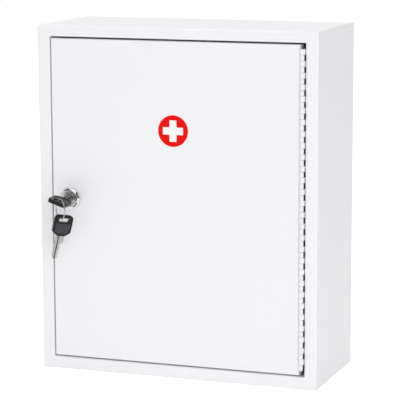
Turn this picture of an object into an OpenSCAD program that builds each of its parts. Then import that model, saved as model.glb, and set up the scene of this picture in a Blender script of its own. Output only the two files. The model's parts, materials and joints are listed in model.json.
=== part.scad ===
// Lockable wall cabinet of folded sheet steel, with a flush door on a continuous hinge,
// a cam lock and two keys on a wire ring.
// Millimetres. X runs to the right, Y to the back and Z up. The origin is the centre of the
// underside. The front of the frame and of the closed door is the plane y = -cabinet_d / 2.

/* [Cabinet] */
// Width of the cabinet over its sides
cabinet_w = 325; // [280:1:420]
// Depth of the cabinet from the frame's front to the back
cabinet_d = 140; // [120:1:200]
// Height of the cabinet
cabinet_h = 390; // [330:1:500]
// Thickness of the sheet steel
sheet = 0.9; // [0.7:0.1:1.2]
// Outer radius of the folds in the sheet
fold_r = 1.6; // [1.4:0.1:2.2]

/* [Door frame] */
// Width of the upright stile at each side of the door, and of the flanges at the back
stile_w = 14; // [12:0.5:18]
// Height of the rail above the door
top_rail_h = 12.1; // [8:0.1:20]
// Height of the rail under the door
bottom_rail_h = 13.8; // [8:0.1:20]
// Depth of the rebate that the door closes into
rebate_d = 17; // [16:0.5:20]
// Width of the lip that the door stops on and the cam catches
stop_lip_w = 6.5; // [5:0.5:8]
// Diameter of the holes for the wall screws
wall_hole_d = 6; // [4:0.5:8]
// Distance between the wall holes, across
wall_hole_across = 250; // [150:5:255]
// Distance between the wall holes, up
wall_hole_up = 300; // [200:5:300]

/* [Door] */
// Gap beside and under the door
door_gap = 1.5; // [1.2:0.1:2.5]
// Gap above the door
door_top_gap = 2; // [1.2:0.1:3]
// Depth of the door's folded edges
door_d = 15; // [13:0.5:15.5]
// Width of the flange folded in behind the door
door_flange_w = 8; // [5:0.5:8.5]
// Diameter of the round first-aid sticker
disc_d = 34.8; // [25:0.1:50]
// Thickness of the sticker
disc_t = 0.3; // [0.2:0.05:0.5]
// Distance from the door's top edge down to the sticker's centre
disc_drop = 98; // [60:0.5:140]

/* [Hinge] */
// Radius of the hinge barrel
barrel_r = 2.7; // [2.5:0.05:2.9]
// Radius of the hinge pin
pin_r = 1.5; // [1.2:0.05:1.6]
// Running clearance round the pin
pin_fit = 0.05; // [0.03:0.01:0.08]
// Thickness of the two leaves
leaf_t = 1.1; // [0.9:0.05:1.2]
// Pitch of the knuckles, one of the frame's and one of the door's
knuckle_pitch = 12.5; // [10:0.5:20]
// Gap between one knuckle and the next
knuckle_gap = 0.3; // [0.2:0.05:0.6]
// How far the hinge's axis stands in front of the door
hinge_proud = 0.8; // [0.6:0.1:1.2]
// Gap between the barrel and the edge of the stile
barrel_gap = 0.6; // [0.5:0.1:1]
// Distance from the door's top edge down to the top of the hinge
hinge_drop = 4.3; // [2:0.1:10]

/* [Shelves] */
// Height of the lower shelf's top face
lower_shelf_z = 134; // [100:1:160]
// Height of the upper shelf's top face
upper_shelf_z = 262; // [220:1:290]
// Height of the folds at the shelf's front and back
shelf_fold_h = 12; // [8:1:16]
// Distance from the front of the cabinet to the shelf's front edge
shelf_setback = 30; // [28:1:45]
// Play of the shelf at each side and at the back
shelf_play = 0.8; // [0.5:0.1:1.5]
// Width of both legs of the strips that carry the shelves
ledge_w = 10; // [8:1:14]

/* [Lock] */
// Distance from the door's free edge to the lock's centre
lock_inset = 22.5; // [21:0.5:30]
// Height of the lock's centre above the door's middle
lock_rise = 1.5; // [0:0.5:10]
// Diameter of the lock's bezel
bezel_d = 24; // [22:0.5:26]
// Height of the bezel in front of the door
bezel_h = 6.5; // [4:0.5:8]
// Width of the bezel's rounded rim round its flat face
bezel_rim_w = 3.2; // [2:0.2:4]
// Diameter of the threaded barrel through the door
housing_d = 19; // [18.5:0.5:20]
// Distance across the flats of that barrel
housing_flats = 16.5; // [16:0.5:17.5]
// Diameter of the plug that turns
plug_d = 12.56; // [12.4:0.02:12.8]
// Running clearance round the plug
plug_fit = 0.06; // [0.04:0.01:0.09]
// How far the plug's face stands in front of the bezel
plug_proud = 0.3; // [0.1:0.1:1]
// Number of wafers
wafers = 5; // [3:1:5]
// Pitch of the wafers
wafer_pitch = 2.8; // [2.4:0.1:2.9]
// Thickness of one wafer
wafer_t = 1; // [0.8:0.1:1.1]
// Thickness of the cam
cam_t = 2; // [1.5:0.1:2.5]
// Length of the cam from the lock's axis to its tip
cam_reach = 30; // [28:0.5:32]
// Width of the cam's arm
cam_w = 12; // [10:0.5:14]
// Gap between the stop lip and the cam behind it
cam_gap = 1; // [0.6:0.1:2]
// Across-flats size of the nut
nut_af = 24; // [22:0.5:25]
// Height of the nut
nut_h = 4; // [3:0.5:5]

/* [Keys] */
// Roll of the key in the lock, clockwise from level
key_roll = 18; // [10:1:25]
// Thickness of the blade
blade_t = 2; // [1.6:0.1:2.2]
// Width of the blade that enters the lock
blade_w = 6.3; // [5:0.1:6.4]
// Length of the blade that enters the lock
blade_l = 18.6; // [18:0.1:20]
// Extra width of the blade's shoulder, at one side
shoulder_step = 3.2; // [1:0.1:3.5]
// Length of the shoulder between the lock and the bow
shoulder_l = 8.4; // [5:0.1:10]
// Width of the key's plastic bow
bow_w = 22; // [20:0.5:26]
// Length of the bow
bow_l = 24.2; // [22:0.1:28]
// Thickness of the bow
bow_t = 4.6; // [4:0.1:4.8]
// Depth of the panel sunk in each face of the bow
panel_depth = 0.6; // [0.2:0.1:0.8]
// Width of the bar between the bow's slot and its end
bow_bar = 3.2; // [2.8:0.1:3.4]
// Length of the slot through the bow
slot_l = 13; // [11:0.5:14]
// Width of the slot through the bow
slot_w = 4.8; // [4.6:0.1:5.4]
// Radius of the key ring to the middle of its wire
ring_r = 10.8; // [10.5:0.1:12]
// Diameter of the ring's wire
ring_wire_d = 1.2; // [1:0.1:1.3]
// Turn of the ring from facing forward
ring_turn = 40; // [36:1:44]
// Lean of the spare key to the side, from upright
spare_lean = 9.5; // [0:0.5:20]
// Tilt of the spare key, its tip back under the ring
spare_tilt = 10; // [0:0.5:11]

/* [Hidden] */
$fn = 64;
cut = 1; // what a cutting solid stands out past the face that it cuts

// Frame
front_y = -cabinet_d / 2;
back_y = cabinet_d / 2;
inner_x = cabinet_w / 2 - sheet;
opening_x = cabinet_w / 2 - stile_w;
opening_top = cabinet_h - top_rail_h;
rebate_y = front_y + rebate_d;

// Hinge axis, from the right stile
hinge_x = opening_x - barrel_gap - barrel_r;
hinge_y = front_y - hinge_proud;
knuckle_room = 3.8; // from the axis to where the leaves are whole behind the knuckles
leaf_end_gap = 3; // from a leaf's edge to the edge of the fold that it lies on

// Door
door_left = -opening_x + door_gap;
door_right = hinge_x - barrel_r;
door_w = door_right - door_left;
door_x = (door_left + door_right) / 2;
door_z = bottom_rail_h + door_gap;
door_top = opening_top - door_top_gap;
door_h = door_top - door_z;
hinge_top = door_top - hinge_drop;
knuckle_pairs = floor((hinge_top - door_z - leaf_end_gap) / knuckle_pitch);
hinge_l = knuckle_pairs * knuckle_pitch;
hinge_z = hinge_top - hinge_l;

// Lock, along its own axis: zero is the door's face and plus is outwards
lock_x = door_left + lock_inset;
lock_z = door_z + door_h / 2 + lock_rise;
collar_t = 1.2;
collar_r = plug_d / 2 + 0.8;
bezel_face = bezel_h;
plug_face = bezel_h + plug_proud;
cam_face = -rebate_d - cam_gap;
stop_washer_t = 0.8;
washer_play = 0.2;
housing_end = cam_face + stop_washer_t + washer_play;
plug_end = cam_face + stop_washer_t;
boss_w = 7.5; // square end of the plug, through the stop washer and the cam
boss_fit = 0.05;
boss_end = cam_face - cam_t + 0.2;
screw_r = 2;
screw_fit = 0.05;
screw_depth = 4.2;
screw_head_r = 4.5;
screw_head_h = 2.6;
washer_r = 13;
washer_t = 0.8;
thread_fit = 0.05;

// Wafers, in the plug's own axes: x is the blade's width and y its thickness
wafer_first = plug_face - 3.3;
wafer_fit = 0.1;
wafer_half = 3.3; // half the wafer's width across the blade
wafer_end_r = plug_d / 2 - 0.13;
ear_out = 5.2; // how far the wafer's ear reaches to the side
ear_x = [0.6, 2.4]; // where the ear stands along the blade's width
spring_y = -4.3;
spring_x = -4;
spring_r = 0.6;
spring_wire_r = 0.14;
spring_turns = 4;
pocket_r = 0.9;
blade_fit = 0.15;
keyway_l = blade_l + 0.4;

// Keys, drawn flat: x is the blade's width, y runs from the tip to the bow's end,
// and y = 0 is the bow's edge at the blade
bow_x = shoulder_step / 2;
tang_l = 8;
tip_l = 2.4;
groove_w = 1.5;
groove_d = 0.45;
groove_x = -0.6; // the groove's middle, from the middle of the blade
bits = [0.9, 0.4, 1.1, 0.6, 0.8]; // depths of the cuts, from the bow to the tip
bit_flat = 0.5;
bit_slope = 0.7;
bow_edge = 0.9; // bevel round the bow
panel_rim = 1.8; // from the bow's outline to its sunk panel
slot_corner_r = 1.4;
key_seat = plug_face + shoulder_l;

// Ring, from the middle of the bow's bar
bar_mid = key_seat + bow_l - bow_bar / 2;
ring_side = 3.8;
ring_out = 1;
ring_drop = 5;
ring_at = [lock_x + ring_side * cos(key_roll), front_y - bar_mid - ring_out,
    lock_z - ring_side * sin(key_roll) - ring_drop];
ring_joint = 3; // degrees that the ends of the wire stand apart
ring_play = 1.1; // between the ring's wire and the spare key's bar
spare_shift = -4; // where the ring passes the spare key's slot, from its middle

// ---- Folded sheet ----

function unit(v) = v / norm(v);
function left_of(v) = [-v.y, v.x];
function turn(v, a) = [v.x * cos(a) - v.y * sin(a), v.x * sin(a) + v.y * cos(a)];
function crossing(a, b) = a.x * b.y - a.y * b.x;

// Points round one fold, at the path itself (layer = 0) or a sheet's thickness to the side
// that the metal lies on (layer = 1). side is 1 for metal at the left of the path.
function fold_points(a, b, c, side, layer) =
    let (d = unit(b - a), e = unit(c - b), s = sign(crossing(d, e)),
        path_r = s == side ? fold_r : fold_r - sheet,
        r = path_r - layer * s * side * sheet,
        centre = b - d * path_r + s * left_of(d) * path_r)
    [for (k = [0:4]) centre - s * turn(left_of(d), s * 90 * k / 4) * r];

function fold_edge(p, side, layer) =
    let (n = len(p) - 1, off = layer * side * sheet)
    concat([p[0] + left_of(unit(p[1] - p[0])) * off],
        [for (i = [1:n - 1]) each fold_points(p[i - 1], p[i], p[i + 1], side, layer)],
        [p[n] + left_of(unit(p[n] - p[n - 1])) * off]);

function reversed(p) = [for (i = [len(p) - 1:-1:0]) p[i]];

// A strip of sheet folded along a path of right angles
module folded(path, side) {
    polygon(concat(fold_edge(path, side, 0), reversed(fold_edge(path, side, 1))));
}

// A profile drawn in Y and Z, extruded along X
module along_x(x0, x1) {
    translate([x0, 0, 0]) rotate([90, 0, 90]) linear_extrude(x1 - x0) children();
}

// A profile drawn in X and Z, extruded along Y
module along_y(y0, y1) {
    translate([0, y1, 0]) rotate([90, 0, 0]) linear_extrude(y1 - y0) children();
}

// ---- Cabinet ----

// Side panel at the left: rear flange, wall, stile, rebate and, with_lip, the stop lip.
// Beside the two rails the rebate and the lip are cut off and the stile ends flat.
module side_panel(with_lip) {
    x = -cabinet_w / 2;
    start = [[x + stile_w, back_y], [x, back_y], [x, front_y], [x + stile_w, front_y]];
    lip = [[x + stile_w, rebate_y - sheet], [x + stile_w + stop_lip_w, rebate_y - sheet]];
    plain = [[x + stile_w, rebate_y]];
    difference() {
        linear_extrude(cabinet_h) folded(concat(start, with_lip ? lip : plain), 1);
        for (z = [-cut, opening_top])
            translate([-opening_x - fold_r, front_y - cut, z])
                cube([fold_r + stop_lip_w + cut, rebate_d + 2 * cut,
                    z < 0 ? bottom_rail_h + cut : top_rail_h + cut]);
    }
    translate([-opening_x - fold_r, front_y, 0]) cube([fold_r, sheet, bottom_rail_h]);
    translate([-opening_x - fold_r, front_y, opening_top]) cube([fold_r, sheet, top_rail_h]);
}

module left_side() {
    color("white") side_panel(true);
}

module right_side() {
    color("white") mirror([1, 0, 0]) side_panel(false);
}

// Bottom panel with its rail; the plate runs on behind the stiles to the side walls
module rail_panel(rail_h) {
    along_x(-opening_x, opening_x)
        folded([[back_y, stile_w], [back_y, 0], [front_y, 0], [front_y, rail_h],
            [rebate_y, rail_h]], -1);
    for (side = [0, 1])
        mirror([side, 0, 0])
            translate([opening_x, front_y + sheet, 0])
                cube([inner_x - opening_x, cabinet_d - 2 * sheet, sheet]);
}

module bottom_panel() {
    color("white") rail_panel(bottom_rail_h);
}

module top_panel() {
    color("white") translate([0, 0, cabinet_h]) mirror([0, 0, 1]) rail_panel(top_rail_h);
}

// Flat back, laid in between the roots of the folds, on the flanges
module back_panel() {
    x = cabinet_w / 2 - fold_r;
    color("white") difference() {
        translate([-x, back_y - 2 * sheet, fold_r]) cube([2 * x, sheet, cabinet_h - 2 * fold_r]);
        for (x = [-1, 1], z = [-1, 1])
            translate([x * wall_hole_across / 2, back_y, cabinet_h / 2 + z * wall_hole_up / 2])
                rotate([90, 0, 0]) cylinder(d = wall_hole_d, h = 3 * sheet);
    }
}

// ---- Shelves ----

shelf_front = front_y + shelf_setback;
shelf_back = back_y - 2 * sheet - shelf_play;

module shelf(z) {
    x = inner_x - shelf_play;
    color("white") along_x(-x, x)
        folded([[shelf_front, z - shelf_fold_h], [shelf_front, z], [shelf_back, z],
            [shelf_back, z - shelf_fold_h]], -1);
}

module lower_shelf() { shelf(lower_shelf_z); }

module upper_shelf() { shelf(upper_shelf_z); }

// Angle strips on the side walls, between the shelf's two folds
module shelf_ledges() {
    color("white") for (z = [lower_shelf_z, upper_shelf_z], side = [0, 1])
        mirror([side, 0, 0])
            along_y(shelf_front + sheet + fold_r, shelf_back - sheet - fold_r)
                folded([[-inner_x, z - sheet - ledge_w], [-inner_x, z - sheet],
                    [-inner_x + ledge_w, z - sheet]], -1);
}

// ---- Hinge ----

// Cuts a row of notches through a leaf and its barrel, where the other leaf has its knuckles.
// first is the top of the first notch.
module knuckle_notches(first) {
    half = knuckle_pitch / 2;
    for (k = [0:knuckle_pairs - 1])
        translate([hinge_x - barrel_r - cut, hinge_y - barrel_r - cut,
            first - k * knuckle_pitch - half - knuckle_gap / 2])
            cube([2 * (barrel_r + cut), barrel_r + cut + knuckle_room, half + knuckle_gap]);
}

// A leaf with a knuckle at every pitch: its outline is drawn in X and Y
module hinge_leaf(first_notch) {
    difference() {
        translate([0, 0, hinge_z]) linear_extrude(hinge_l) {
            translate([hinge_x, hinge_y]) circle(r = barrel_r);
            children();
        }
        translate([hinge_x, hinge_y, hinge_z - cut])
            cylinder(r = pin_r + pin_fit, h = hinge_l + 2 * cut);
        knuckle_notches(first_notch);
    }
}

// The frame's leaf steps out from the barrel to the stile's rebate and lies flat on it
module frame_hinge_leaf() {
    end = rebate_y - leaf_end_gap;
    step = hinge_y + knuckle_room;
    color("gainsboro") hinge_leaf(hinge_top - knuckle_pitch / 2)
        polygon([[hinge_x + barrel_r - leaf_t, hinge_y], [hinge_x + barrel_r, hinge_y],
            [opening_x, step], [opening_x, end], [opening_x - leaf_t, end],
            [opening_x - leaf_t, step]]);
}

// The door's leaf runs straight back from the barrel, flat on the door's edge
module door_hinge_leaf() {
    end = front_y + door_d - leaf_end_gap;
    color("gainsboro") hinge_leaf(hinge_top)
        translate([door_right, hinge_y]) square([leaf_t, end - hinge_y]);
}

module hinge_pin() {
    color("silver") translate([hinge_x, hinge_y, hinge_z])
        cylinder(r = pin_r, h = hinge_l);
}

// ---- Door ----

// Rectangle w wide and d deep with its two front corners rounded
module rounded_front(w, d, r) {
    translate([-w / 2, r]) square([w, d - r]);
    translate([-w / 2 + r, 0]) square([w - 2 * r, d]);
    for (side = [-1, 1]) translate([side * (w / 2 - r), r]) circle(r = r);
}

// Block with all four edges of its front face rounded
module pan_block(w, d, h, r) {
    intersection() {
        linear_extrude(h) rounded_front(w, d, r);
        translate([w / 2, 0, h / 2]) rotate([0, -90, 0])
            linear_extrude(w) rounded_front(h, d, r);
    }
}

module door_panel() {
    color("white") difference() {
        translate([door_x, front_y, door_z]) difference() {
            pan_block(door_w, door_d, door_h, fold_r);
            translate([0, sheet, sheet])
                pan_block(door_w - 2 * sheet, door_d - 2 * sheet, door_h - 2 * sheet,
                    fold_r - sheet);
            translate([-door_w / 2 + door_flange_w, door_d / 2, door_flange_w])
                cube([door_w - 2 * door_flange_w, door_d, door_h - 2 * door_flange_w]);
        }
        at_lock() translate([0, 0, -sheet - cut])
            flatted(housing_d / 2 + thread_fit, housing_flats + 2 * thread_fit, sheet + 2 * cut);
    }
}

module first_aid_disc() {
    color("crimson") translate([door_x, front_y, door_top - disc_drop])
        rotate([90, 0, 0]) cylinder(d = disc_d, h = disc_t, $fn = 128);
}

// ---- Lock ----

// Puts a thing on the lock's axis, with its z pointing out of the door
module at_lock() {
    translate([lock_x, front_y, lock_z]) rotate([90, 0, 0]) children();
}

// The same, turned with the plug: x lies along the blade's width
module at_plug() {
    at_lock() rotate(-key_roll) children();
}

// Round bar with two flats
module flatted(r, flats, h) {
    intersection() {
        cylinder(r = r, h = h);
        translate([-flats / 2, -r, 0]) cube([flats, 2 * r, h]);
    }
}

// Domed bezel in front of the door and a flatted barrel through it, bored for the plug
module lock_housing() {
    bore_r = plug_d / 2 + plug_fit;
    rim = 1.2; // height of the bezel's upright rim
    face_r = bezel_d / 2 - bezel_rim_w;
    dome = [for (a = [0:15:90])
        [face_r + bezel_rim_w * cos(a), rim + (bezel_h - rim) * sin(a)]];
    color("silver") at_lock() difference() {
        union() {
            rotate_extrude() polygon(concat([[0, 0], [bezel_d / 2, 0]], dome, [[0, bezel_h]]));
            translate([0, 0, housing_end]) flatted(housing_d / 2, housing_flats, -housing_end);
        }
        translate([0, 0, housing_end - cut]) cylinder(r = bore_r, h = bezel_h - housing_end + 2);
        translate([0, 0, bezel_face + plug_proud - collar_t - plug_fit])
            cylinder(r = collar_r + plug_fit, h = collar_t + cut);
    }
}

module lock_washer() {
    teeth = 12;
    color("silver") at_lock() translate([0, 0, -sheet - washer_t]) difference() {
        cylinder(r = washer_r, h = washer_t);
        translate([0, 0, -cut]) cylinder(r = housing_d / 2 + thread_fit, h = washer_t + 2 * cut);
        for (k = [0:teeth - 1])
            rotate(360 * k / teeth) translate([washer_r - 1.2, -0.6, -cut])
                cube([2, 1.2, washer_t + 2 * cut]);
    }
}

module lock_nut() {
    color("silver") at_lock() translate([0, 0, -sheet - washer_t - nut_h]) difference() {
        cylinder(d = nut_af / cos(30), h = nut_h, $fn = 6);
        translate([0, 0, -cut]) cylinder(r = housing_d / 2 + thread_fit, h = nut_h + 2 * cut);
    }
}

function wafer_z(k) = wafer_first - k * wafer_pitch;

module lock_plug() {
    slot_t = wafer_t + 2 * wafer_fit;
    slot_y = wafer_half + wafer_fit;
    color("gray") at_plug() difference() {
        union() {
            translate([0, 0, plug_end]) cylinder(d = plug_d, h = plug_face - plug_end - 0.4);
            translate([0, 0, plug_face - collar_t]) cylinder(r = collar_r, h = collar_t - 0.3);
            translate([0, 0, plug_face - 0.3]) cylinder(r1 = collar_r, r2 = collar_r - 0.3, h = 0.3);
            translate([-boss_w / 2, -boss_w / 2, boss_end])
                cube([boss_w, boss_w, plug_end - boss_end + cut]);
        }
        translate([-blade_w / 2 - blade_fit, -blade_t / 2 - blade_fit, plug_face - keyway_l])
            cube([blade_w + 2 * blade_fit, blade_t + 2 * blade_fit, keyway_l + cut]);
        for (k = [0:wafers - 1]) translate([0, 0, wafer_z(k)]) {
            translate([-plug_d, -slot_y, -slot_t / 2]) cube([2 * plug_d, 2 * slot_y, slot_t]);
            translate([spring_x, -ear_out - wafer_fit, -slot_t / 2])
                cube([plug_d, ear_out, slot_t]);
            translate([spring_x, spring_y, 0]) rotate([0, 90, 0])
                cylinder(r = pocket_r, h = plug_d);
        }
        translate([0, 0, boss_end - cut])
            cylinder(r = screw_r + screw_fit, h = screw_depth + cut);
    }
}

// Brass plates that slide across the blade, each with a window for it and an ear for its spring
module lock_wafers() {
    color("goldenrod") at_plug() for (k = [0:wafers - 1])
        translate([0, 0, wafer_z(k) - wafer_t / 2]) linear_extrude(wafer_t) difference() {
            intersection() {
                circle(r = wafer_end_r);
                union() {
                    translate([-plug_d, -wafer_half]) square([2 * plug_d, 2 * wafer_half]);
                    translate([ear_x[0], -ear_out]) square([ear_x[1] - ear_x[0], ear_out]);
                }
            }
            translate([-blade_w / 2 - 0.4, -blade_t / 2 - 0.3])
                square([blade_w + 0.8, blade_t + 0.6]);
        }
}

// Points round the wire at one step along a coil that runs in x
function coil_ring(angle, x, sides) =
    [for (s = [0:sides - 1])
        let (b = 360 * s / sides, r = spring_r + spring_wire_r * cos(b))
        [x + spring_wire_r * sin(b), r * cos(angle), r * sin(angle)]];

module coil_spring(length) {
    sides = 4;
    steps = 8 * spring_turns;
    pitch = (length - 2 * spring_wire_r) / steps;
    points = [for (k = [0:steps]) each coil_ring(45 * k, spring_wire_r + k * pitch, sides)];
    walls = [for (k = [0:steps - 1], s = [0:sides - 1])
        let (a = k * sides + s, b = k * sides + (s + 1) % sides)
        each [[a, b, b + sides], [a, b + sides, a + sides]]];
    first = [[for (s = [sides - 1:-1:0]) s]];
    last = [[for (s = [0:sides - 1]) steps * sides + s]];
    polyhedron(points, concat(walls, first, last), convexity = 4);
}

module wafer_springs() {
    color("silver") at_plug() for (k = [0:wafers - 1])
        translate([spring_x, spring_y, wafer_z(k)]) coil_spring(ear_x[0] - spring_x);
}

// The stop washer limits the plug's turn; its notch runs on a tooth of the housing
module stop_washer() {
    color("silver") at_plug() translate([0, 0, cam_face]) linear_extrude(stop_washer_t)
        difference() {
            circle(r = 8);
            square(boss_w + 2 * boss_fit, center = true);
            rotate(-45) translate([6.6, 0]) square([3, 4], center = true);
        }
}

module lock_cam() {
    tip_r = cam_w / 2;
    color("silver") at_plug() translate([0, 0, cam_face - cam_t]) linear_extrude(cam_t)
        difference() {
            union() {
                circle(r = 8);
                translate([-tip_r, tip_r - cam_reach]) square([cam_w, cam_reach - tip_r]);
                translate([0, tip_r - cam_reach]) circle(r = tip_r);
            }
            square(boss_w + 2 * boss_fit, center = true);
        }
}

module cam_screw() {
    head = cam_face - cam_t;
    color("silver") at_plug() difference() {
        union() {
            translate([0, 0, head - screw_head_h])
                cylinder(r1 = screw_head_r - 1, r2 = screw_head_r, h = screw_head_h);
            translate([0, 0, head]) cylinder(r = screw_r, h = screw_depth);
        }
        translate([-screw_head_r, -0.6, head - screw_head_h - cut])
            cube([2 * screw_head_r, 1.2, cut + 1.2]);
    }
}

// ---- Keys ----

// Outline of the blade: a shoulder with a step at one side, cuts along one edge and a tip
module blade_outline() {
    x = blade_w / 2;
    tip = -shoulder_l - blade_l;
    cuts = [for (k = [0:wafers - 1])
        let (y = wafer_z(k) - key_seat, d = bits[k])
        each [[x, y + bit_flat + d * bit_slope], [x - d, y + bit_flat],
            [x - d, y - bit_flat], [x, y - bit_flat - d * bit_slope]]];
    polygon(concat([[-x, tang_l], [x + shoulder_step, tang_l],
        [x + shoulder_step, -shoulder_l], [x, -shoulder_l]], cuts,
        [[x, tip + tip_l], [x / 3, tip], [-x / 3, tip], [-x, tip + tip_l]]));
}

// Flat blade of a key with a groove milled in each face
module blade() {
    difference() {
        translate([0, 0, -blade_t / 2]) linear_extrude(blade_t) blade_outline();
        for (side = [0, 1]) mirror([0, 0, side])
            translate([groove_x - groove_w / 2, -shoulder_l - blade_l - cut, blade_t / 2 - groove_d])
                cube([groove_w, blade_l + shoulder_l + cut, groove_d + cut]);
    }
}

// Outline of the bow, drawn in by an inset: round end corners, straight sides and shoulders
// that slope down to the width of the blade
module bow_outline(inset) {
    end_r = 4.5;
    side_r = 3;
    foot_r = 2;
    foot_x = (blade_w + shoulder_step) / 2 - foot_r / 2;
    hull() for (side = [-1, 1]) {
        translate([side * (bow_w / 2 - end_r), bow_l - end_r]) circle(r = end_r - inset, $fn = 32);
        translate([side * (bow_w / 2 - side_r), bow_l / 4]) circle(r = side_r - inset, $fn = 32);
        translate([side * foot_x, foot_r]) circle(r = foot_r - inset, $fn = 32);
    }
}

// The sunk panel between the bow's raised rim and its slot
module panel_outline() {
    intersection() {
        bow_outline(panel_rim);
        translate([-bow_w / 2, 0]) square([bow_w, bow_l - bow_bar - slot_w - panel_rim]);
    }
}

// Slot for the ring, near the bow's end
module slot_outline() {
    y = bow_l - bow_bar - slot_w / 2;
    hull() for (x = [-1, 1], s = [-1, 1])
        translate([x * (slot_l / 2 - slot_corner_r), y + s * (slot_w / 2 - slot_corner_r)])
            circle(r = slot_corner_r, $fn = 32);
}

// Moulded bow with bevelled edges, a sunk panel in each face, a slot for the ring and a pocket
// for the blade's tang
module bow() {
    flat_t = bow_t - 2 * bow_edge;
    difference() {
        translate([bow_x, 0, 0]) hull() {
            translate([0, 0, -flat_t / 2]) linear_extrude(flat_t) bow_outline(0);
            translate([0, 0, -bow_t / 2]) linear_extrude(bow_t) bow_outline(bow_edge);
        }
        translate([bow_x, 0, -bow_t]) linear_extrude(2 * bow_t) slot_outline();
        for (side = [0, 1]) mirror([0, 0, side])
            translate([bow_x, 0, bow_t / 2 - panel_depth])
                linear_extrude(panel_depth + cut) panel_outline();
        translate([0, 0, -blade_t / 2]) linear_extrude(blade_t) blade_outline();
    }
}

// Puts a key, drawn flat, in the lock, with the shoulder's step at the left
module at_key() {
    at_plug() translate([0, 0, key_seat]) rotate([90, 0, 0]) rotate([0, 180, 0]) children();
}

// Puts a key, drawn flat, on the ring's lowest point, square to the ring but for its tilt
module at_spare() {
    slot_top = bow_l - bow_bar - ring_wire_d / 2 - ring_play;
    translate(ring_at - [0, 0, ring_r]) rotate([0, 0, 90 - ring_turn]) rotate([90, 0, 0])
        rotate(-spare_lean) rotate([spare_tilt, 0, 0])
            translate([-bow_x - spare_shift, -slot_top, 0]) children();
}

module key_blade() {
    color("silver") at_key() blade();
}

module key_bow() {
    color("dimgray") at_key() bow();
}

module spare_key_blade() {
    color("silver") at_spare() blade();
}

module spare_key_bow() {
    color("dimgray") at_spare() bow();
}

module key_ring() {
    color("silver") translate(ring_at) rotate([0, 0, -ring_turn]) rotate([90, 0, 0])
        rotate(35) rotate_extrude(angle = 360 - ring_joint)
            translate([ring_r, 0]) circle(d = ring_wire_d, $fn = 24);
}

left_side();
right_side();
top_panel();
bottom_panel();
back_panel();
shelf_ledges();
lower_shelf();
upper_shelf();
frame_hinge_leaf();
hinge_pin();
door_panel();
door_hinge_leaf();
first_aid_disc();
lock_housing();
lock_washer();
lock_nut();
lock_plug();
lock_wafers();
wafer_springs();
stop_washer();
lock_cam();
cam_screw();
key_blade();
key_bow();
key_ring();
spare_key_blade();
spare_key_bow();
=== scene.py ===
"""Looks of a lockable sheet-steel wall cabinet: powder-coated panels, a continuous hinge, a
printed disc, a turned cam lock and two keys with moulded bows on a wire ring.

The axes are the frame's: X to the right, Y to the back, Z up. The object's lengths are written
in millimetres and turned into metres where a piece is made. The floor and the lights are placed
in metres.
"""

import json
import math
from contextlib import contextmanager

import bmesh
import bpy
from mathutils import Matrix, Vector


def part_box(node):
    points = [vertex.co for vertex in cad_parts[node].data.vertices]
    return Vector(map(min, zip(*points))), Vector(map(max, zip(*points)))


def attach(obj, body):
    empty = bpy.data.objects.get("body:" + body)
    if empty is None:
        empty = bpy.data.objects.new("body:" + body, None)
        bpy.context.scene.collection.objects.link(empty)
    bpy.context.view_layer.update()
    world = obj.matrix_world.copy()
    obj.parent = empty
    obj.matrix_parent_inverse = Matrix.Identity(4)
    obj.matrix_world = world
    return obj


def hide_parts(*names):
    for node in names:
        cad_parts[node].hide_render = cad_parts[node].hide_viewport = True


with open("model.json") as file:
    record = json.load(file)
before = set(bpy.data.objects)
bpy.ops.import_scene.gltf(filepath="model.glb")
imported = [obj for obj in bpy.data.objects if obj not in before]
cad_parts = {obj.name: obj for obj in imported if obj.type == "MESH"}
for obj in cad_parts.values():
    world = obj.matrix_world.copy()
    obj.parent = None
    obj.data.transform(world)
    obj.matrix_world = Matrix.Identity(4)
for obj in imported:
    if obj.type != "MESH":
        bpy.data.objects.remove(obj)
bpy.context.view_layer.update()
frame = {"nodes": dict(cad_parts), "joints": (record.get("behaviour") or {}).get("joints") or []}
bpy.ops.object.select_all(action="DESELECT")

MM = 0.001
WELD = 0.001 * MM  # points nearer than this become one
NODES = frame["nodes"]
JOINTS = {joint["name"]: joint for joint in frame["joints"]}


# ---- Places, from the frame ----


def centre(node):
    low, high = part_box(node)
    return (low + high) / 2


def turned(angle, axis):
    return Matrix.Rotation(math.radians(angle), 4, axis)


def moved(x, y, z):
    return Matrix.Translation(Vector((x, y, z)) * MM)


KEY_ROLL = 18  # degrees that the key in the lock is turned from level
KEY_SEAT = 15.2  # from the door's face to the bow's edge
RING_R = 10.8
RING_WIRE_R = 0.6
RING_TURN = 40  # degrees that the hanging ring is turned about the upright
RING_GAP_TURN = -115  # puts the gap between the ring's ends behind the hanging bow
SPARE_LEAN = 9.5  # degrees that the hanging key leans within its own plane
SPARE_TILT = 10  # degrees that it tips out of that plane
SPARE_HANG = (2.4, -19.3, 0)  # where the ring passes the spare key's slot

DISC_AT = centre("first_aid_disc")
DISC_AT.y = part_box("door_panel")[0].y
HINGE_AT = Vector((*JOINTS["door_swing"]["pos_m"][:2], 0))
LOCK_FRAME = Matrix.Translation(JOINTS["lock_turn"]["pos_m"]) @ turned(90, "X")
PLUG_FRAME = LOCK_FRAME @ turned(-KEY_ROLL, "Z")
KEY_FRAME = PLUG_FRAME @ moved(0, 0, KEY_SEAT) @ turned(90, "X") @ turned(180, "Y")
RING_LOW = Matrix.Translation(JOINTS["spare_key_swing"]["pos_m"])
SPARE_FRAME = (RING_LOW @ turned(90 - RING_TURN, "Z") @ turned(90, "X")
               @ turned(-SPARE_LEAN, "Z") @ turned(SPARE_TILT, "X") @ moved(*SPARE_HANG))
RING_FRAME = (RING_LOW @ moved(0, 0, RING_R) @ turned(-RING_TURN, "Z") @ turned(90, "X")
              @ turned(RING_GAP_TURN, "Z"))
DISC_FRAME = Matrix.Translation(DISC_AT) @ turned(90, "X")


# ---- Camera ----

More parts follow.
